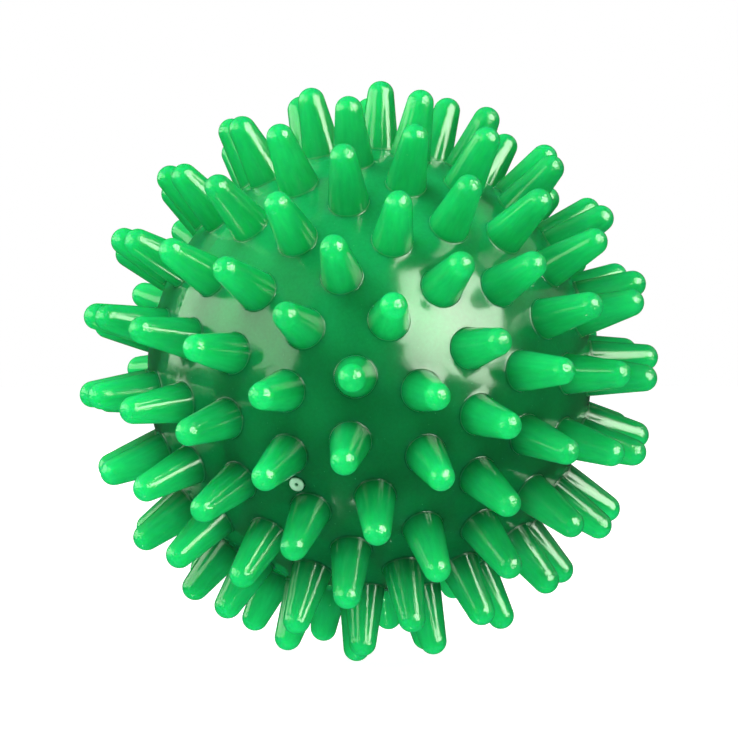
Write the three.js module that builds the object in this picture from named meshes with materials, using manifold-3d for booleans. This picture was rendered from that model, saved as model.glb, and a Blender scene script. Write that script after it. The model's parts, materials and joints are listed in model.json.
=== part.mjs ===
// A spiked massage ball: a hollow soft-PVC skin moulded in one piece with its spikes, and an air valve made of
// an insert and a stopper pin. Millimetres, +Z up, origin at the centre of the ball, -Y at the front.
import * as THREE from "three";
import { mergeVertices } from "three/addons/utils/BufferGeometryUtils.js";
import Module from "manifold-3d";

const wasm = await Module();
wasm.setup();

// ---------------------------------------------------------------------------------------------- driving dimensions
const BALL_DIAMETER = 70; // across opposite spike tips
const SPIKE_LENGTH = 8.3; // from the core's surface to the tip
const SPIKE_BASE_DIAMETER = 5.2; // at the spike's root, inside the wall
const SPIKE_DOME_DIAMETER = 3.2; // where the side turns into the domed tip
const WALL = 2.2; // thickness of the hollow core
const FIT_GAP = 0.25; // clearance between pieces that are pressed together

// The two mould halves have the same rings of spikes. Each ring lies one step further from the half's pole: its
// number of spikes, and where its first spike stands in the front and in the back half, in degrees about the
// mould axis.
const HALF_RINGS = [
  { spikes: 1, front: 0, back: 0 },
  { spikes: 6, front: 0, back: 0 },
  { spikes: 12, front: 5.7, back: 5.7 },
  { spikes: 17, front: -7.6, back: -8.4 },
  { spikes: 20, front: -1.9, back: 0 },
  { spikes: 22, front: 4.5, back: 4.9 },
];

// How the ball lies: where its front pole points, and how far the rings are turned about that pole.
const POLE_TO_THE_RIGHT = 28.2;
const POLE_DOWN = 10.5;
const RINGS_TURNED = 10;

// The parting line: a fine ridge round the core where the mould halves met.
const RIDGE_HEIGHT = 0.2;
const RIDGE_WIDTH = 0.9;

// The valve stands between two spikes of ring 3. A thick neck inside the wall holds the insert in a pocket, and
// only the head of the stopper pin shows at the surface.
const VALVE_RING = 3; // in ring steps from the pole
const VALVE_TURN = 109; // degrees about the mould axis
const NECK_DIAMETER = 8.4;
const NECK_DEPTH = 6.2; // from the core's surface to the neck's inner end
const INSERT_DIAMETER = 5;
const INSERT_DEPTH = 1.5; // from the core's surface to the insert's outer end
const INSERT_LENGTH = 4.5;
const PIN_HEAD_DIAMETER = 1.8;
const PIN_HEAD_RISE = 0.25; // the head stands this far out of the core
const PIN_DIAMETER = 1.2;
const PIN_TIP_DIAMETER = 0.9;
const PIN_TIP_LENGTH = 0.9;
const DIMPLE_DIAMETER = 0.4; // the sprue mark in the middle of the pin's head
const DIMPLE_DEPTH = 0.25;

// ---------------------------------------------------------------------------------------------- derived dimensions
const TIP_RADIUS = BALL_DIAMETER / 2;
const CORE_RADIUS = TIP_RADIUS - SPIKE_LENGTH;
const RING_STEP = 180 / (2 * HALF_RINGS.length - 1);
const NECK_END = CORE_RADIUS - NECK_DEPTH;
const INSERT_TOP = CORE_RADIUS - INSERT_DEPTH;
const INSERT_END = INSERT_TOP - INSERT_LENGTH;
const PIN_FACE = CORE_RADIUS + PIN_HEAD_RISE;
const UNDER_HEAD = INSERT_TOP + FIT_GAP;

// How finely the round shapes are cut.
const CORE_SEGMENTS = 32;
const CORE_ROWS = 16;
const CAVITY_SEGMENTS = 24;
const CAVITY_ROWS = 12;
const SPIKE_SIDES = 6;
const VALVE_SIDES = 20;
const ROOT_DEPTH = 0.8; // how far a spike's root reaches into the wall, so that the two join
const OVERSHOOT = 1; // how far a cutting tool passes what it cuts

// ------------------------------------------------------------------------------------------------------- directions
const UP = new THREE.Vector3(0, 0, 1);
const RIGHT = new THREE.Vector3(1, 0, 0);
const FRONT = new THREE.Vector3(0, -1, 0);
const radians = THREE.MathUtils.degToRad;

const POLE = FRONT.clone()
  .applyAxisAngle(RIGHT, radians(POLE_DOWN))
  .applyAxisAngle(UP, radians(POLE_TO_THE_RIGHT));
const SIDE = new THREE.Vector3().crossVectors(POLE, UP).normalize();
const RISE = new THREE.Vector3().crossVectors(SIDE, POLE);

// The direction that lies `fromPole` degrees from the front pole, turned `about` degrees round the mould axis from
// the upward meridian towards the left.
function direction(fromPole, about) {
  const polar = radians(fromPole);
  const turn = radians(about + RINGS_TURNED);
  return new THREE.Vector3()
    .addScaledVector(POLE, Math.cos(polar))
    .addScaledVector(RISE, Math.sin(polar) * Math.cos(turn))
    .addScaledVector(SIDE, Math.sin(polar) * Math.sin(turn));
}

function spikeDirections() {
  const found = [];
  HALF_RINGS.forEach(({ spikes, front, back }, ring) => {
    for (let i = 0; i < spikes; i++) {
      const turn = (i * 360) / spikes;
      found.push(direction(ring * RING_STEP, front + turn));
      found.push(direction(180 - ring * RING_STEP, back + turn));
    }
  });
  return found;
}

// ----------------------------------------------------------------------------------------------------------- solids
// A lathed solid from [radius, height] pairs that start and end on the axis, bottom first.
function lathed(profile, sides) {
  const points = profile.map(([r, h]) => new THREE.Vector2(r, h));
  const turned = new THREE.LatheGeometry(points, sides);
  turned.deleteAttribute("uv");
  turned.deleteAttribute("normal");
  const whole = mergeVertices(turned, 1e-5);
  const mesh = new wasm.Mesh({
    numProp: 3,
    vertProperties: whole.attributes.position.array,
    triVerts: new Uint32Array(whole.index.array),
  });
  return new wasm.Manifold(mesh);
}

// The same solid, turned so that its own axis points along `aim` from the ball's centre.
function aimed(solid, aim) {
  const up = new THREE.Vector3(0, 1, 0);
  const turn = new THREE.Quaternion().setFromUnitVectors(up, aim);
  const matrix = new THREE.Matrix4().makeRotationFromQuaternion(turn);
  return solid.transform(matrix.elements);
}

function bar(diameter, from, to, sides) {
  const r = diameter / 2;
  return lathed([[0, from], [r, from], [r, to], [0, to]], sides);
}

function globe(radius, segments, rows) {
  const profile = [];
  for (let i = 0; i <= rows; i++) {
    const angle = Math.PI - (Math.PI * i) / rows;
    const flat = i % rows ? radius * Math.sin(angle) : 0;
    profile.push([flat, radius * Math.cos(angle)]);
  }
  return lathed(profile, segments);
}

// ----------------------------------------------------------------------------------------------------------- pieces
function spike() {
  const base = SPIKE_BASE_DIAMETER / 2;
  const dome = SPIKE_DOME_DIAMETER / 2;
  const shoulder = TIP_RADIUS - dome;
  const slant = Math.SQRT1_2 * dome;
  return lathed(
    [
      [0, CORE_RADIUS - ROOT_DEPTH],
      [base, CORE_RADIUS - ROOT_DEPTH],
      [dome, shoulder],
      [slant, shoulder + slant],
      [0, TIP_RADIUS],
    ],
    SPIKE_SIDES,
  );
}

function core() {
  const ball = globe(CORE_RADIUS, CORE_SEGMENTS, CORE_ROWS);
  const half = RIDGE_WIDTH / 2;
  const inside = CORE_RADIUS - ROOT_DEPTH;
  const ridge = lathed(
    [
      [0, -half],
      [inside, -half],
      [CORE_RADIUS + RIDGE_HEIGHT, 0],
      [inside, half],
      [0, half],
    ],
    CORE_SEGMENTS,
  );
  return ball.add(ridge);
}

// The hollow skin with its spikes, and the thick neck inside it with the pocket that grips the valve insert.
function spikedShell(valveAim) {
  const cavity = globe(CORE_RADIUS - WALL, CAVITY_SEGMENTS, CAVITY_ROWS);
  let skin = aimed(core(), POLE);
  const oneSpike = spike();
  for (const aim of spikeDirections()) skin = skin.add(aimed(oneSpike, aim));
  const wallMiddle = CORE_RADIUS - WALL / 2;
  const neck = bar(NECK_DIAMETER, NECK_END, wallMiddle, VALVE_SIDES);
  const pocket = bar(
    INSERT_DIAMETER + 2 * FIT_GAP,
    NECK_END - OVERSHOOT,
    INSERT_TOP + FIT_GAP,
    VALVE_SIDES,
  );
  const hole = bar(
    PIN_HEAD_DIAMETER + 2 * FIT_GAP,
    INSERT_TOP,
    CORE_RADIUS + OVERSHOOT,
    VALVE_SIDES,
  );
  return skin
    .subtract(aimed(cavity, POLE))
    .add(aimed(neck, valveAim))
    .subtract(aimed(pocket.add(hole), valveAim));
}

// The bonded insert: a thick sleeve with the hole for the stopper pin or a pump's needle.
function valveInsert() {
  const sleeve = bar(INSERT_DIAMETER, INSERT_END, INSERT_TOP, VALVE_SIDES);
  const hole = bar(
    PIN_DIAMETER + 2 * FIT_GAP,
    INSERT_END - OVERSHOOT,
    INSERT_TOP + OVERSHOOT,
    VALVE_SIDES,
  );
  return sleeve.subtract(hole);
}

// The stopper pin: a flat head with a sprue dimple, and a shaft that closes the insert's hole.
function stopperPin() {
  const shaft = PIN_DIAMETER / 2;
  const head = PIN_HEAD_DIAMETER / 2;
  return lathed(
    [
      [0, INSERT_END],
      [PIN_TIP_DIAMETER / 2, INSERT_END],
      [shaft, INSERT_END + PIN_TIP_LENGTH],
      [shaft, UNDER_HEAD],
      [head, UNDER_HEAD],
      [head, PIN_FACE],
      [DIMPLE_DIAMETER / 2, PIN_FACE],
      [0, PIN_FACE - DIMPLE_DEPTH],
    ],
    VALVE_SIDES,
  );
}

// -------------------------------------------------------------------------------------------------------- materials
function softPvc() {
  return new THREE.MeshStandardMaterial({ color: 0x12a04a, roughness: 0.15 });
}

function valvePvc() {
  return new THREE.MeshStandardMaterial({ color: 0x3f9a62, roughness: 0.3 });
}

function meshOf(name, solid, material) {
  const made = solid.getMesh();
  const stride = made.numProp;
  const positions = new Float32Array(made.numVert * 3);
  for (let i = 0; i < made.numVert; i++) {
    positions.set(made.vertProperties.subarray(i * stride, i * stride + 3), i * 3);
  }
  const geometry = new THREE.BufferGeometry();
  geometry.setAttribute("position", new THREE.BufferAttribute(positions, 3));
  geometry.setIndex(new THREE.BufferAttribute(made.triVerts, 1));
  geometry.computeVertexNormals();
  const mesh = new THREE.Mesh(geometry, material);
  mesh.name = name;
  return mesh;
}

// --------------------------------------------------------------------------------------------------------- assembly
const valveAim = direction(VALVE_RING * RING_STEP, VALVE_TURN);
const ball = new THREE.Group();
ball.name = "massage_ball";
ball.add(meshOf("spiked_shell", spikedShell(valveAim), softPvc()));
ball.add(meshOf("valve_insert", aimed(valveInsert(), valveAim), valvePvc()));
ball.add(meshOf("stopper_pin", aimed(stopperPin(), valveAim), valvePvc()));

export default ball;
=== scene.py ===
"""A glossy green spiked massage ball of soft PVC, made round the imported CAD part."""

import json
import math
import random
from collections import Counter

import bmesh
import bpy
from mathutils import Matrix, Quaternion, Vector
from mathutils.geometry import closest_point_on_tri


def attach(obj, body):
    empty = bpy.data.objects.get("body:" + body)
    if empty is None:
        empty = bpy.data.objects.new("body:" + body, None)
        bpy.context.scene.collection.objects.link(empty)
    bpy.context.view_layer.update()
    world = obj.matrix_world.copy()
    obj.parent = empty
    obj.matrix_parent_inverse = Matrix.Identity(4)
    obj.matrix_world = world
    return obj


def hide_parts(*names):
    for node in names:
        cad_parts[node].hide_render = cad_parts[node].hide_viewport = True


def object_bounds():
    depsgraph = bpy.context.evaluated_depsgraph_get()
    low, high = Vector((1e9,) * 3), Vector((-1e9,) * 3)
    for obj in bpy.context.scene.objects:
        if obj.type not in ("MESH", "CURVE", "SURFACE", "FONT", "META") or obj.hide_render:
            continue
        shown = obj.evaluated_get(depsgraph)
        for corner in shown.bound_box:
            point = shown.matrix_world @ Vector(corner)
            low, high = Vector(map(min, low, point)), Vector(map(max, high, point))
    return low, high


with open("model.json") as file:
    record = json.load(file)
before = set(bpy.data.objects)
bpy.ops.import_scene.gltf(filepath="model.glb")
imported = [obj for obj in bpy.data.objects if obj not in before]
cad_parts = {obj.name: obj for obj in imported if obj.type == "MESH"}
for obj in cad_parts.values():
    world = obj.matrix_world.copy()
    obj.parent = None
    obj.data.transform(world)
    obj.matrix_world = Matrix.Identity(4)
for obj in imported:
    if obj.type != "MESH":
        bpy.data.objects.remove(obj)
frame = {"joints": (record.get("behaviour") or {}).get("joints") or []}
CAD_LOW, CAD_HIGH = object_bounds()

MM = 0.001

# --------------------------------------------------------------------------------------------- sizes
TIP_RADIUS = 35 * MM
SPIKE_LENGTH = 8.3 * MM
CORE_RADIUS = TIP_RADIUS - SPIKE_LENGTH
SPIKE_RIM = 2.54 * MM  # where the fillet round a spike's foot meets the core
SPIKE_FOOT = 2.42 * MM  # the spike's radius above its fillet
SPIKE_FILLET = 0.12 * MM
SPIKE_DOME = 1.6 * MM
LENGTH_SPREAD = 0.12 * MM  # soft spikes differ a little from one another
LEAN_SPREAD = 0.16 * MM
LEAN_CURVE = 1.5  # a spike bends more towards its tip
SPREAD_SEED = 7

# As in the CAD: the spikes in each ring, and the degrees at which the front and the back ring start.
HALF_RINGS = (
    (1, 0.0, 0.0),
    (6, 0.0, 0.0),
    (12, 5.7, 5.7),
    (17, -7.6, -8.4),
    (20, -1.9, 0.0),
    (22, 4.5, 4.9),
)
RING_STEP = 180 / (2 * len(HALF_RINGS) - 1)
POLE_TO_THE_RIGHT = 28.2
POLE_DOWN = 10.5
RINGS_TURNED = 10.0

RIDGE_HEIGHT = 0.05 * MM  # the parting line where the mould halves met
RIDGE_HALF_WIDTH = 0.4 * MM
RIDGE_SHOULDER = 0.5  # share of the ridge's height, half way out to its edge

HOLE_RADIUS = 0.98 * MM
HOLE_ROUNDING = 0.1 * MM
HOLE_CURVE = (0.3, 0.4)  # shares of the rounding, out from the hole's side and down from its rim
MOUTH_RADIUS = HOLE_RADIUS + HOLE_ROUNDING
SKIN_DEPTH = 1.35 * MM  # from the core's surface down to the insert's pocket
POCKET_RADIUS = 2.7 * MM
POCKET_DEPTH = 6.3 * MM
INSERT_RADIUS = 2.55 * MM
INSERT_BORE = 0.7 * MM
INSERT_TOP = 1.5 * MM
INSERT_BOTTOM = 6.0 * MM
INSERT_EDGE = 0.15 * MM
PIN_HEAD_RADIUS = 0.9 * MM
PIN_HEAD_RISE = 0.22 * MM
PIN_HEAD_DEPTH = 1.2 * MM
PIN_HEAD_EDGE = 0.16 * MM
PIN_SHAFT = 0.6 * MM
PIN_TIP_LENGTH = 0.7 * MM
PIN_TIP_SHARE = 0.75  # of the shaft's radius, at the tip
DIMPLE_RADIUS = 0.22 * MM
DIMPLE_DEPTH = 0.25 * MM
DIMPLE_CURVE = ((0.7, 0.75), (1.0, 0.2), (1.3, 0.0))  # shares of its radius and depth, up to its lip

SPIKE_SIDES = 28
FILLET_STEPS = 4
SIDE_STEPS = 6
DOME_STEPS = 8
VALVE_SIDES = 40
EDGE_STEPS = 4
FILL_STEP = 0.8 * MM  # spacing of the core's own points
RIDGE_STEP = 0.48 * MM  # spacing of the points along the parting line
RIM_CLEARANCE = 0.4 * MM  # from a spike's rim or the ridge to the core's own points
MOUTH_CLEARANCE = 0.24 * MM
MOUTH_MARGIN = 1.02  # the skin is cut this much wider than the mouth's rim

# Each light: name, the direction that it shines from, distance, width, height, roll, spread and watts.
# The gloss mirrors the softboxes. The soft lights only light the skin.
SOFTBOXES = (
    ("left_strip", (-0.6, -0.09, 0.19), 0.63, 1.24, 0.36, 0, 180, 4.8),
    ("left_panel", (-0.70, 0.03, 0.72), 0.8, 1.6, 0.78, -20, 180, 1.0),
    ("right_box", (0.68, -0.63, 0.40), 0.8, 0.79, 0.76, -15, 110, 10.0),
    ("right_panel", (0.78, 0.31, 0.55), 0.8, 0.8, 0.5, 0, 180, 0.5),
    ("low_lamp", (-0.29, -0.27, -0.92), 0.8, 0.05, 0.05, 0, 180, 0.25),
)
SOFT_LIGHTS = (
    ("front_light", (0.3, -1.0, -0.12), 1.0, 0.8, 0.8, 0, 180, 3.8),
    ("back_light", (-0.4, 1.0, 0.3), 1.0, 0.8, 0.8, 0, 180, 4.0),
    ("top_light", (-0.45, -0.5, 1.0), 0.8, 0.6, 0.6, 0, 180, 5.4),
    ("left_light", (-0.9, -0.2, 0.0), 0.65, 0.5, 0.4, 0, 180, 0.6),
    ("low_light", (-0.2, -0.6, -1.0), 0.8, 0.6, 0.6, 0, 180, 3.2),
)
FLOOR_REACH = 6.0
FLOOR_GREY = 0.5
FLOOR_GLOW = 0.94  # the photograph's backdrop is white
GLOSS_TINT = (0.84, 1.0, 0.78)  # the photograph's reflections are a pale green
ROOM_LIGHT = 0.31  # the room's light on the ball
ROOM_MIRRORED = 0.03  # what the gloss shows of the room between the softboxes

CAMERA_AT = (-0.05 * MM, -406 * MM, 0.3 * MM)
CAMERA_LENS = 164.4  # millimetres of focal length, on a 36 mm sensor
SENSOR_WIDTH = 36
NEAREST_SEEN = 0.01
FURTHEST_SEEN = 50

VALVE_AXIS = Vector(frame["joints"][0]["axis"]).normalized()

# --------------------------------------------------------------------------------------------- looks
# Each noise: its scale per metre, detail and roughness. A range is what its low and high values turn into.
# Each relief: the strength and the depth of a bump.
NOISE_SPAN = (0.3, 0.7)
SKIN_GREENS_AND_SHADE = (  # from a spike's tip down to the darkest of the core: the PVC's own green, darkened as painted shade between the spikes, at their feet and over the core
    (0.0, (0.014, 0.690, 0.188)),
    (0.6, (0.011, 0.510, 0.138)),
    (0.9, (0.005, 0.225, 0.058)),
    (1.0, (0.004, 0.145, 0.038)),
)
TOP_LIGHT_HEIGHTS = (-12 * MM, 18 * MM)  # painted light: between these heights the core is painted less dark towards the top, as light from above
TOP_LIGHT_RANGE = (0.97, 0.66)
CLOUD = (110, 4, 0.5)
CLOUD_RANGE = (0.8, 1.16)
STREAK = (75, 3, 0.6)  # of the directions from the centre, so that the streaks run along the spikes
STREAK_RANGE = (0.91, 1.05)
DUST = (2600, 2, 0.7)
DUST_SPAN = (0.70, 0.78)
DUST_RANGE = (0.0, 0.35)
DUST_GREEN = (0.10, 0.70, 0.26, 1)
SMEAR = (160, 5, 0.6)
SMEAR_SPAN = (0.3, 0.75)
SMEAR_RANGE = (0.09, 0.19)
DULLED = (  # roughness added, from the tips to the core's surface
    (0.0, 0.08),  # tips rubbed by use
    (0.3, 0.0),
    (0.95, 0.0),
    (0.985, 0.3),  # dust in the fillet round each foot
    (0.999, 0.0),
)
DENT = (420, 4, 0.55)
DENT_RELIEF = (0.22, 0.08 * MM)
MARK_RELIEF = (0.22, 0.1 * MM)
MARKS_FADE = (0.8, 0.98)  # shares of the way down a spike
PIT = (2300, 1, 0.5)
PIT_RELIEF = (1.0, 0.13 * MM)
PITS_FADE = (0.05, 0.3)
# the valve's own pale PVC, and painted shade down in the hole and the dimple
VALVE_GREENS_AND_SHADE = ((0.0, (0.01, 0.15, 0.05)), (1.0, (0.42, 0.78, 0.52)))
SHADE_FADE_DEPTH = 0.18 * MM  # below the top of the pin's head, over which its pale face fades into the painted shade of the hole
VALVE_CLOUD = (700, 4, 0.5)
VALVE_CLOUD_RANGE = (0.75, 1.1)
SCUFF = (1500, 5, 0.65)
SCUFF_RANGE = (0.16, 0.36)
SCUFF_RELIEF = (0.3, 0.05 * MM)
SKIN_SOAK = (1.0, (0.15, 1.0, 0.4), 3.5 * MM)  # how much, how far for each colour, and over what distance
VALVE_SOAK = (0.3, (0.3, 1.0, 0.5), 1.0 * MM)
PVC_IOR = 1.53


# ---------------------------------------------------------------------------------------- directions
def mould_frame():
    """The front pole, the direction that rises from it and the one to its side."""
    down = math.radians(POLE_DOWN)
    right = math.radians(POLE_TO_THE_RIGHT)
    pole = Vector((math.sin(right) * math.cos(down), -math.cos(right) * math.cos(down), -math.sin(down)))
    side = pole.cross(Vector((0, 0, 1))).normalized()
    return pole, side.cross(pole), side


POLE, RISE, SIDE = mould_frame()


def direction(from_pole, about):
    """The direction `from_pole` degrees from the front pole and `about` degrees round the mould axis."""
    polar = math.radians(from_pole)
    turn = math.radians(about + RINGS_TURNED)
    flat = RISE * math.cos(turn) + SIDE * math.sin(turn)
    return POLE * math.cos(polar) + flat * math.sin(polar)


def spike_directions():
    for ring, (spikes, front, back) in enumerate(HALF_RINGS):
        for i in range(spikes):
            turn = i * 360 / spikes
            yield direction(ring * RING_STEP, front + turn)
            yield direction(180 - ring * RING_STEP, back + turn)


# -------------------------------------------------------------------------------------------- meshes
def across(axis):
    """Two directions square to `axis` and to each other."""
    first = axis.orthogonal().normalized()
    return first, axis.cross(first)


def ring_points(axis, radius, height, sides, lean=Vector()):
    """Points on a circle of `radius` round `axis`, `height` from the ball's centre."""
    u, v = across(axis)
    for i in range(sides):
        a = 2 * math.pi * i / sides
        yield axis * height + lean + (u * math.cos(a) + v * math.sin(a)) * radius


def bridge(bm, lower, upper):
    """Quads between two rings of equal length."""
    count = len(lower)
    for i in range(count):
        j = (i + 1) % count
        bm.faces.new((lower[i], lower[j], upper[j], upper[i]))


def close(bm, ring, point):
    """A fan from a ring to one point."""
    apex = bm.verts.new(point)
    count = len(ring)
    for i in range(count):
        bm.faces.new((ring[i], ring[(i + 1) % count], apex))


def rim_height(radius):
    return math.sqrt(CORE_RADIUS**2 - radius**2)


def spike_profile(length):
    """Radius and height above the core's surface, from just inside the rim to just under the tip."""
    for i in range(1, FILLET_STEPS + 1):
        a = math.pi / 2 * i / FILLET_STEPS
        yield SPIKE_RIM - (SPIKE_RIM - SPIKE_FOOT) * math.sin(a), SPIKE_FILLET * (1 - math.cos(a))
    centre = length - SPIKE_DOME
    side = centre - SPIKE_FILLET
    # The slope at which the straight side runs into the dome without a crease.
    taper = math.acos(SPIKE_DOME / math.hypot(SPIKE_FOOT, side)) - math.atan2(side, SPIKE_FOOT)
    shoulder_radius = SPIKE_DOME * math.cos(taper)
    shoulder_height = centre + SPIKE_DOME * math.sin(taper)
    for i in range(1, SIDE_STEPS + 1):
        t = i / SIDE_STEPS
        radius = SPIKE_FOOT + (shoulder_radius - SPIKE_FOOT) * t
        yield radius, SPIKE_FILLET + (shoulder_height - SPIKE_FILLET) * t
    for i in range(1, DOME_STEPS):
        a = taper + (math.pi / 2 - taper) * i / DOME_STEPS
        yield SPIKE_DOME * math.cos(a), centre + SPIKE_DOME * math.sin(a)


def grow_spike(bm, rim, axis, rng):
    """A spike on its rim, with its own small lean and length."""
    u, v = across(axis)
    lean = (u * rng.uniform(-1, 1) + v * rng.uniform(-1, 1)) * LEAN_SPREAD
    length = SPIKE_LENGTH - LENGTH_SPREAD * rng.random()
    ring = rim
    for radius, height in spike_profile(length):
        foot = rim_height(radius) if height < SPIKE_FILLET else CORE_RADIUS
        bend = lean * (height / length) ** LEAN_CURVE
        points = ring_points(axis, radius, foot + height, SPIKE_SIDES, bend)
        upper = [bm.verts.new(p) for p in points]
        bridge(bm, ring, upper)
        ring = upper
    close(bm, ring, axis * (CORE_RADIUS + length) + lean)


def open_mouth(bm):
    """Cuts the valve's round mouth out of the core, and returns its rim."""
    height = rim_height(MOUTH_RADIUS)
    centre = VALVE_AXIS * height
    cut = []
    for face in bm.faces:
        nearest = closest_point_on_tri(centre, *(v.co for v in face.verts))
        if (nearest - centre).length < MOUTH_RADIUS * MOUTH_MARGIN:
            cut.append(face)
    uses = Counter(edge for face in cut for edge in face.edges)
    around = [edge for edge, faces in uses.items() if faces == 1]
    bmesh.ops.delete(bm, geom=cut, context="FACES_KEEP_BOUNDARY")
    rim = [bm.verts.new(p) for p in ring_points(VALVE_AXIS, MOUTH_RADIUS, height, VALVE_SIDES)]
    edges = [bm.edges.new((rim[i - 1], rim[i])) for i in range(VALVE_SIDES)]
    bmesh.ops.triangle_fill(bm, edges=around + edges, use_beauty=True)
    return rim


def sink_valve_hole(bm, rim, axis):
    """The hole in the skin, and under it the pocket that holds the insert."""
    surface = CORE_RADIUS
    out, down = HOLE_CURVE
    steps = (
        (HOLE_RADIUS + HOLE_ROUNDING * out, surface - HOLE_ROUNDING * down),
        (HOLE_RADIUS, surface - HOLE_ROUNDING),
        (HOLE_RADIUS, surface - SKIN_DEPTH),
        (POCKET_RADIUS, surface - SKIN_DEPTH),
        (POCKET_RADIUS, surface - POCKET_DEPTH),
    )
    ring = rim
    for radius, height in steps:
        lower = [bm.verts.new(p) for p in ring_points(axis, radius, height, VALVE_SIDES)]
        bridge(bm, ring, lower)
        ring = lower
    close(bm, ring, axis * (surface - POCKET_DEPTH))


def even_directions(count):
    """Directions spread evenly over the sphere on a golden-angle spiral."""
    golden = math.pi * (3 - math.sqrt(5))
    for i in range(count):
        z = 1 - (2 * i + 1) / count
        flat = math.sqrt(1 - z * z)
        yield Vector((flat * math.cos(golden * i), flat * math.sin(golden * i), z))


def ridge_rows():
    """Offsets from the parting plane, and how far each row of points stands out."""
    edge = RIDGE_HALF_WIDTH
    return ((-edge, 0.0), (-edge / 2, RIDGE_SHOULDER), (0.0, 1.0), (edge / 2, RIDGE_SHOULDER), (edge, 0.0))


def ball_mesh():
    """One closed skin: the core with its parting line, every spike and the valve's hole."""
    bm = bmesh.new()
    axes = list(spike_directions())
    rims = [
        [bm.verts.new(p) for p in ring_points(axis, SPIKE_RIM, rim_height(SPIKE_RIM), SPIKE_SIDES)]
        for axis in axes
    ]
    keep_off = [(axis, math.cos((SPIKE_RIM + RIM_CLEARANCE) / CORE_RADIUS)) for axis in axes]
    keep_off.append((VALVE_AXIS, math.cos((MOUTH_RADIUS + MOUTH_CLEARANCE) / CORE_RADIUS)))

    raised = {}
    row_count = round(2 * math.pi * CORE_RADIUS / RIDGE_STEP)
    for offset, share in ridge_rows():
        flat = math.sqrt(CORE_RADIUS**2 - offset**2)
        for i in range(row_count):
            a = 2 * math.pi * i / row_count
            point = POLE * offset + (RISE * math.cos(a) + SIDE * math.sin(a)) * flat
            raised[bm.verts.new(point)] = share * RIDGE_HEIGHT
    clear_of_ridge = math.sin((RIDGE_HALF_WIDTH + RIM_CLEARANCE) / CORE_RADIUS)
    fill_count = round(4 * math.pi * CORE_RADIUS**2 / FILL_STEP**2)
    for aim in even_directions(fill_count):
        if abs(aim.dot(POLE)) < clear_of_ridge:
            continue
        if all(aim.dot(axis) < limit for axis, limit in keep_off):
            bm.verts.new(aim * CORE_RADIUS)

    owner = {v: k for k, rim in enumerate(rims) for v in rim}
    bmesh.ops.convex_hull(bm, input=bm.verts[:])
    lids = []
    for face in bm.faces:
        owners = {owner.get(v) for v in face.verts}
        if len(owners) == 1 and None not in owners:
            lids.append(face)
    bmesh.ops.delete(bm, geom=lids, context="FACES")
    mouth_rim = open_mouth(bm)
    for vert, rise in raised.items():
        vert.co += vert.co.normalized() * rise

    rng = random.Random(SPREAD_SEED)
    for axis, rim in zip(axes, rims):
        grow_spike(bm, rim, axis, rng)
    sink_valve_hole(bm, mouth_rim, VALVE_AXIS)
    bmesh.ops.recalc_face_normals(bm, faces=bm.faces[:])
    return bm


def lathe_mesh(axis, profile, sides, closed):
    """A turned piece round the valve's axis, from (radius, depth under the core's surface) pairs."""
    bm = bmesh.new()
    rings = [
        [bm.verts.new(p) for p in ring_points(axis, radius, CORE_RADIUS - depth, sides)]
        for radius, depth in profile
        if radius > 0
    ]
    for lower, upper in zip(rings, rings[1:]):
        bridge(bm, lower, upper)
    if closed:
        bridge(bm, rings[-1], rings[0])
    else:
        close(bm, rings[0], axis * (CORE_RADIUS - profile[0][1]))
        close(bm, rings[-1], axis * (CORE_RADIUS - profile[-1][1]))
    bmesh.ops.recalc_face_normals(bm, faces=bm.faces[:])
    return bm


def insert_profile():
    edge = INSERT_EDGE
    return (
        (INSERT_BORE, INSERT_TOP + edge),
        (INSERT_BORE + edge, INSERT_TOP),
        (INSERT_RADIUS - edge, INSERT_TOP),
        (INSERT_RADIUS, INSERT_TOP + edge),
        (INSERT_RADIUS, INSERT_BOTTOM - edge),
        (INSERT_RADIUS - edge, INSERT_BOTTOM),
        (INSERT_BORE + edge, INSERT_BOTTOM),
        (INSERT_BORE, INSERT_BOTTOM - edge),
    )


def pin_profile():
    """From the bottom of the dimple over the head's rounded edge to the shaft's tip."""
    yield 0.0, -PIN_HEAD_RISE + DIMPLE_DEPTH
    for wide, deep in DIMPLE_CURVE:
        yield DIMPLE_RADIUS * wide, -PIN_HEAD_RISE + DIMPLE_DEPTH * deep
    edge = PIN_HEAD_EDGE
    bevel = edge / 2
    for i in range(EDGE_STEPS + 1):
        a = math.pi / 2 * i / EDGE_STEPS
        yield PIN_HEAD_RADIUS - edge * (1 - math.sin(a)), -PIN_HEAD_RISE + edge * (1 - math.cos(a))
    yield PIN_HEAD_RADIUS, PIN_HEAD_DEPTH - bevel
    yield PIN_HEAD_RADIUS - bevel, PIN_HEAD_DEPTH
    yield PIN_SHAFT + bevel, PIN_HEAD_DEPTH
    yield PIN_SHAFT, PIN_HEAD_DEPTH + bevel
    for i in range(EDGE_STEPS + 1):
        a = math.pi / 2 * i / (EDGE_STEPS + 1)
        radius = PIN_SHAFT * (PIN_TIP_SHARE + (1 - PIN_TIP_SHARE) * math.cos(a))
        yield radius, INSERT_BOTTOM - PIN_TIP_LENGTH * (1 - math.sin(a))
    yield 0.0, INSERT_BOTTOM


def piece(name, bm, material, body, node):
    mesh = bpy.data.meshes.new(name)
    bm.to_mesh(mesh)
    bm.free()
    mesh.shade_smooth()
    mesh.materials.append(material)
    obj = bpy.data.objects.new(name, mesh)
    bpy.context.scene.collection.objects.link(obj)
    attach(obj, body)
    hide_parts(node)


# ----------------------------------------------------------------------------------------- materials
# The mix node's colour sockets, which share their names with its other kinds.
MIX_A = 6
MIX_B = 7
MIX_RESULT = 2


def new_material(name):
    material = bpy.data.materials.new(name)
    material.use_nodes = True
    nodes = material.node_tree.nodes
    return material, nodes, material.node_tree.links, nodes["Principled BSDF"]


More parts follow.
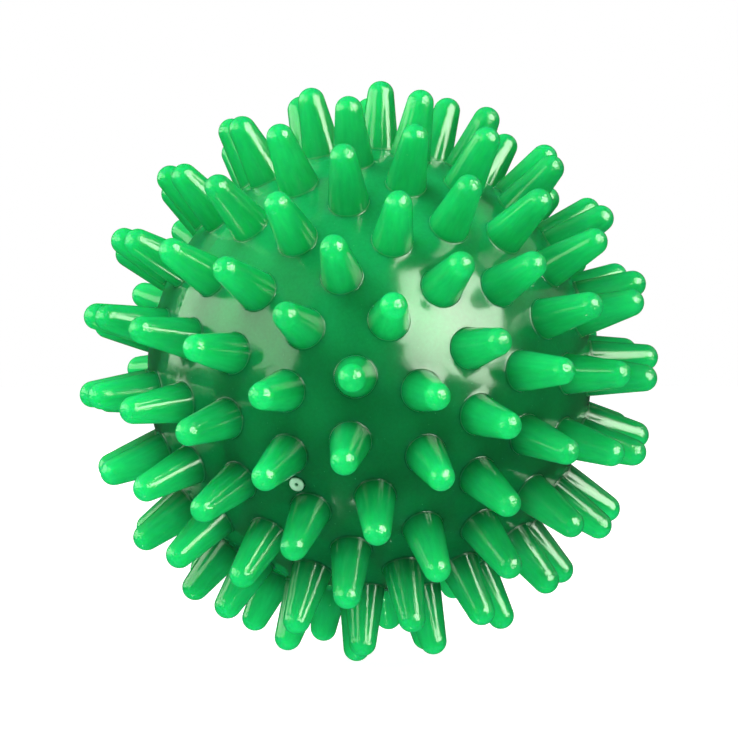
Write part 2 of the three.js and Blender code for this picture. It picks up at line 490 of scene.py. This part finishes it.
def noise(nodes, links, coords, scale, detail, roughness):
    node = nodes.new("ShaderNodeTexNoise")
    node.inputs["Scale"].default_value = scale
    node.inputs["Detail"].default_value = detail
    node.inputs["Roughness"].default_value = roughness
    links.new(coords, node.inputs["Vector"])
    return node.outputs["Fac"]


def map_range(nodes, links, value, low, high, to_low, to_high):
    node = nodes.new("ShaderNodeMapRange")
    node.inputs["From Min"].default_value = low
    node.inputs["From Max"].default_value = high
    node.inputs["To Min"].default_value = to_low
    node.inputs["To Max"].default_value = to_high
    links.new(value, node.inputs["Value"])
    return node.outputs["Result"]


def ramp(nodes, links, value, stops):
    node = nodes.new("ShaderNodeValToRGB")
    elements = node.color_ramp.elements
    for _ in range(len(stops) - 2):
        elements.new(0.5)
    for element, (place, colour) in zip(elements, stops):
        element.position = place
        element.color = (*colour, 1)
    links.new(value, node.inputs["Fac"])
    return node.outputs["Color"]


def mix_colour(nodes, links, mode, amount, a, b):
    """Mixes two colours, where `amount` and `b` are each a constant or another node's output."""
    node = nodes.new("ShaderNodeMix")
    node.data_type = "RGBA"
    node.blend_type = mode
    if isinstance(amount, float):
        node.inputs["Factor"].default_value = amount
    else:
        links.new(amount, node.inputs["Factor"])
    links.new(a, node.inputs[MIX_A])
    if isinstance(b, tuple):
        node.inputs[MIX_B].default_value = b
    else:
        links.new(b, node.inputs[MIX_B])
    return node.outputs[MIX_RESULT]


def grey(nodes, links, value):
    node = nodes.new("ShaderNodeCombineColor")
    for channel in ("Red", "Green", "Blue"):
        links.new(value, node.inputs[channel])
    return node.outputs["Color"]


def bump(nodes, links, height, strength, distance, over=None):
    node = nodes.new("ShaderNodeBump")
    node.inputs["Strength"].default_value = strength
    node.inputs["Distance"].default_value = distance
    links.new(height, node.inputs["Height"])
    if over is not None:
        links.new(over, node.inputs["Normal"])
    return node.outputs["Normal"]


def vector_math(nodes, links, operation, vector):
    node = nodes.new("ShaderNodeVectorMath")
    node.operation = operation
    links.new(vector, node.inputs[0])
    return node


def scalar_math(nodes, links, operation, first, second):
    node = nodes.new("ShaderNodeMath")
    node.operation = operation
    links.new(first, node.inputs[0])
    links.new(second, node.inputs[1])
    return node.outputs["Value"]


def skin_colour(nodes, links, coords, inside, drawn):
    """Green darkening by depth as painted shade between the spikes and at their feet, painted lighter
    towards the top, clouded in the mix, streaked along the spikes and specked with pale dust.
    """
    parts = nodes.new("ShaderNodeSeparateXYZ")
    links.new(coords, parts.inputs[0])
    # painted light: the core is painted lighter towards the top, as light from above falls on it
    shade = map_range(nodes, links, parts.outputs["Z"], *TOP_LIGHT_HEIGHTS, *TOP_LIGHT_RANGE)
    # painted shade: the green darkens from the tips down into the core, as shade between the spikes and at
    # their feet
    depth = ramp(nodes, links, scalar_math(nodes, links, "MULTIPLY", inside, shade), SKIN_GREENS_AND_SHADE)
    cloud = noise(nodes, links, coords, *CLOUD)
    clouds = grey(nodes, links, map_range(nodes, links, cloud, *NOISE_SPAN, *CLOUD_RANGE))
    streaks = grey(nodes, links, map_range(nodes, links, drawn, *NOISE_SPAN, *STREAK_RANGE))
    clouded = mix_colour(nodes, links, "MULTIPLY", 1.0, depth, clouds)
    streaked = mix_colour(nodes, links, "MULTIPLY", 1.0, clouded, streaks)
    dust = noise(nodes, links, coords, *DUST)
    specks = map_range(nodes, links, dust, *DUST_SPAN, *DUST_RANGE)
    return mix_colour(nodes, links, "MIX", specks, streaked, DUST_GREEN)


def skin_roughness(nodes, links, coords, inside):
    """Smears from hands, and the tips and feet duller than the rest."""
    smear = noise(nodes, links, coords, *SMEAR)
    smears = map_range(nodes, links, smear, *SMEAR_SPAN, *SMEAR_RANGE)
    stops = [(place, (extra, extra, extra)) for place, extra in DULLED]
    return scalar_math(nodes, links, "ADD", smears, ramp(nodes, links, inside, stops))


def skin_relief(nodes, links, coords, inside, drawn):
    """Soft dents all over, draw marks along the spikes and fine pits on their tips."""
    dents = bump(nodes, links, noise(nodes, links, coords, *DENT), *DENT_RELIEF)
    on_spikes = map_range(nodes, links, inside, *MARKS_FADE, 1.0, 0.0)
    marks = scalar_math(nodes, links, "MULTIPLY", drawn, on_spikes)
    marked = bump(nodes, links, marks, *MARK_RELIEF, dents)
    on_tips = map_range(nodes, links, inside, *PITS_FADE, 1.0, 0.0)
    pits = scalar_math(nodes, links, "MULTIPLY", noise(nodes, links, coords, *PIT), on_tips)
    return bump(nodes, links, pits, *PIT_RELIEF, marked)


def soak(shader, weight, colour_reach, scale):
    """How far light soaks into the PVC, and the gloss that PVC has."""
    shader.inputs["Subsurface Weight"].default_value = weight
    shader.inputs["Subsurface Radius"].default_value = colour_reach
    shader.inputs["Subsurface Scale"].default_value = scale
    shader.inputs["IOR"].default_value = PVC_IOR


def soft_pvc():
    """Translucent green PVC: painted deep over the hollow core as shade between the spikes, and painted
    bright up the spikes as light that soaks through them.
    """
    material, nodes, links, shader = new_material("green_pvc")
    coords = nodes.new("ShaderNodeTexCoord").outputs["Object"]
    radius = vector_math(nodes, links, "LENGTH", coords).outputs["Value"]
    inside = map_range(nodes, links, radius, CORE_RADIUS, TIP_RADIUS, 1.0, 0.0)
    outward = vector_math(nodes, links, "NORMALIZE", coords).outputs["Vector"]
    drawn = noise(nodes, links, outward, *STREAK)
    links.new(skin_colour(nodes, links, coords, inside, drawn), shader.inputs["Base Color"])
    links.new(skin_roughness(nodes, links, coords, inside), shader.inputs["Roughness"])
    links.new(skin_relief(nodes, links, coords, inside, drawn), shader.inputs["Normal"])
    soak(shader, *SKIN_SOAK)
    return material


def valve_pvc():
    """The valve's own PVC: pale where it faces out, painted dark green down in the hole and the dimple as
    shade, with scuffs.
    """
    material, nodes, links, shader = new_material("valve_pvc")
    coords = nodes.new("ShaderNodeTexCoord").outputs["Object"]
    along = vector_math(nodes, links, "DOT_PRODUCT", coords)
    along.inputs[1].default_value = VALVE_AXIS
    head_top = CORE_RADIUS + PIN_HEAD_RISE
    # painted shade: below the head's top the valve darkens, as shade in the hole and the dimple
    raised = map_range(nodes, links, along.outputs["Value"], head_top - SHADE_FADE_DEPTH, head_top, 0.0, 1.0)
    face = ramp(nodes, links, raised, VALVE_GREENS_AND_SHADE)
    cloud = noise(nodes, links, coords, *VALVE_CLOUD)
    clouds = grey(nodes, links, map_range(nodes, links, cloud, *NOISE_SPAN, *VALVE_CLOUD_RANGE))
    links.new(mix_colour(nodes, links, "MULTIPLY", 1.0, face, clouds), shader.inputs["Base Color"])
    scuffs = noise(nodes, links, coords, *SCUFF)
    roughness = map_range(nodes, links, scuffs, *NOISE_SPAN, *SCUFF_RANGE)
    links.new(roughness, shader.inputs["Roughness"])
    links.new(bump(nodes, links, scuffs, *SCUFF_RELIEF), shader.inputs["Normal"])
    soak(shader, *VALVE_SOAK)
    return material


# --------------------------------------------------------------------------------------------- stage
def add_floor():
    """A white floor that only the camera sees, so that it puts no light or reflection on the ball."""
    mesh = bpy.data.meshes.new("floor")
    z = CAD_LOW.z
    corners = [(x * FLOOR_REACH, y * FLOOR_REACH, z) for x, y in ((-1, -1), (1, -1), (1, 1), (-1, 1))]
    mesh.from_pydata(corners, [], [(0, 1, 2, 3)])
    floor = bpy.data.objects.new("floor", mesh)
    bpy.context.scene.collection.objects.link(floor)
    material, _, _, shader = new_material("floor_white")
    shader.inputs["Base Color"].default_value = (FLOOR_GREY, FLOOR_GREY, FLOOR_GREY, 1)
    shader.inputs["Roughness"].default_value = 1.0
    shader.inputs["Specular IOR Level"].default_value = 0.0
    shader.inputs["Emission Color"].default_value = (1, 1, 1, 1)
    shader.inputs["Emission Strength"].default_value = FLOOR_GLOW
    mesh.materials.append(material)
    floor.visible_glossy = False
    floor.visible_diffuse = False
    floor.visible_transmission = False
    floor.visible_shadow = False


def add_light(name, aim, distance, width, height, roll, spread, watts, mirrored):
    """A rectangle of light that faces the ball, for the gloss to mirror or only to light the skin."""
    light = bpy.data.lights.new(name, "AREA")
    light.shape = "RECTANGLE"
    light.size = width
    light.size_y = height
    light.spread = math.radians(spread)
    light.energy = watts
    if mirrored:
        light.color = GLOSS_TINT
    obj = bpy.data.objects.new(name, light)
    back = Vector(aim).normalized()
    obj.location = back * distance
    obj.rotation_mode = "QUATERNION"
    obj.rotation_quaternion = back.to_track_quat("Z", "Y") @ Quaternion((0, 0, 1), math.radians(roll))
    obj.visible_camera = False
    obj.visible_glossy = mirrored
    obj.visible_diffuse = not mirrored
    bpy.context.scene.collection.objects.link(obj)


def grey_background(nodes, strength):
    background = nodes.new("ShaderNodeBackground")
    background.inputs["Color"].default_value = (1, 1, 1, 1)
    background.inputs["Strength"].default_value = strength
    return background.outputs["Background"]


def mix_shaders(nodes, links, share, first, second):
    mix = nodes.new("ShaderNodeMixShader")
    links.new(share, mix.inputs["Fac"])
    links.new(first, mix.inputs[1])
    links.new(second, mix.inputs[2])
    return mix.outputs["Shader"]


def light_world():
    """White behind the ball, and dim all round it, so that the gloss mirrors only the softboxes."""
    world = bpy.data.worlds.new("studio")
    bpy.context.scene.world = world
    world.use_nodes = True
    nodes, links = world.node_tree.nodes, world.node_tree.links
    backdrop = nodes["Background"]
    rays = nodes.new("ShaderNodeLightPath")
    room = grey_background(nodes, ROOM_LIGHT)
    dark = grey_background(nodes, ROOM_MIRRORED)
    lit = mix_shaders(nodes, links, rays.outputs["Is Glossy Ray"], room, dark)
    seen = mix_shaders(nodes, links, rays.outputs["Is Camera Ray"], lit, backdrop.outputs["Background"])
    backdrop.inputs["Color"].default_value = (1, 1, 1, 1)
    links.new(seen, nodes["World Output"].inputs["Surface"])


def add_camera():
    camera = bpy.data.cameras.new("camera")
    camera.sensor_width = SENSOR_WIDTH
    camera.lens = CAMERA_LENS
    camera.clip_start = NEAREST_SEEN
    camera.clip_end = FURTHEST_SEEN
    obj = bpy.data.objects.new("camera", camera)
    obj.location = CAMERA_AT
    obj.rotation_mode = "QUATERNION"
    obj.rotation_quaternion = Vector((0, -1, 0)).to_track_quat("Z", "Y")
    bpy.context.scene.collection.objects.link(obj)
    bpy.context.scene.camera = obj


# ------------------------------------------------------------------------------------------ assembly
valve_material = valve_pvc()
piece("moulded_skin", ball_mesh(), soft_pvc(), "ball", "spiked_shell")
insert = lathe_mesh(VALVE_AXIS, insert_profile(), VALVE_SIDES, closed=True)
piece("needle_sleeve", insert, valve_material, "ball", "valve_insert")
pin = lathe_mesh(VALVE_AXIS, tuple(pin_profile()), VALVE_SIDES, closed=False)
piece("valve_pin", pin, valve_material, "pin", "stopper_pin")

add_floor()
for light in SOFTBOXES:
    add_light(*light, mirrored=True)
for light in SOFT_LIGHTS:
    add_light(*light, mirrored=False)
light_world()
add_camera()
bpy.context.scene.view_settings.view_transform = "Standard"
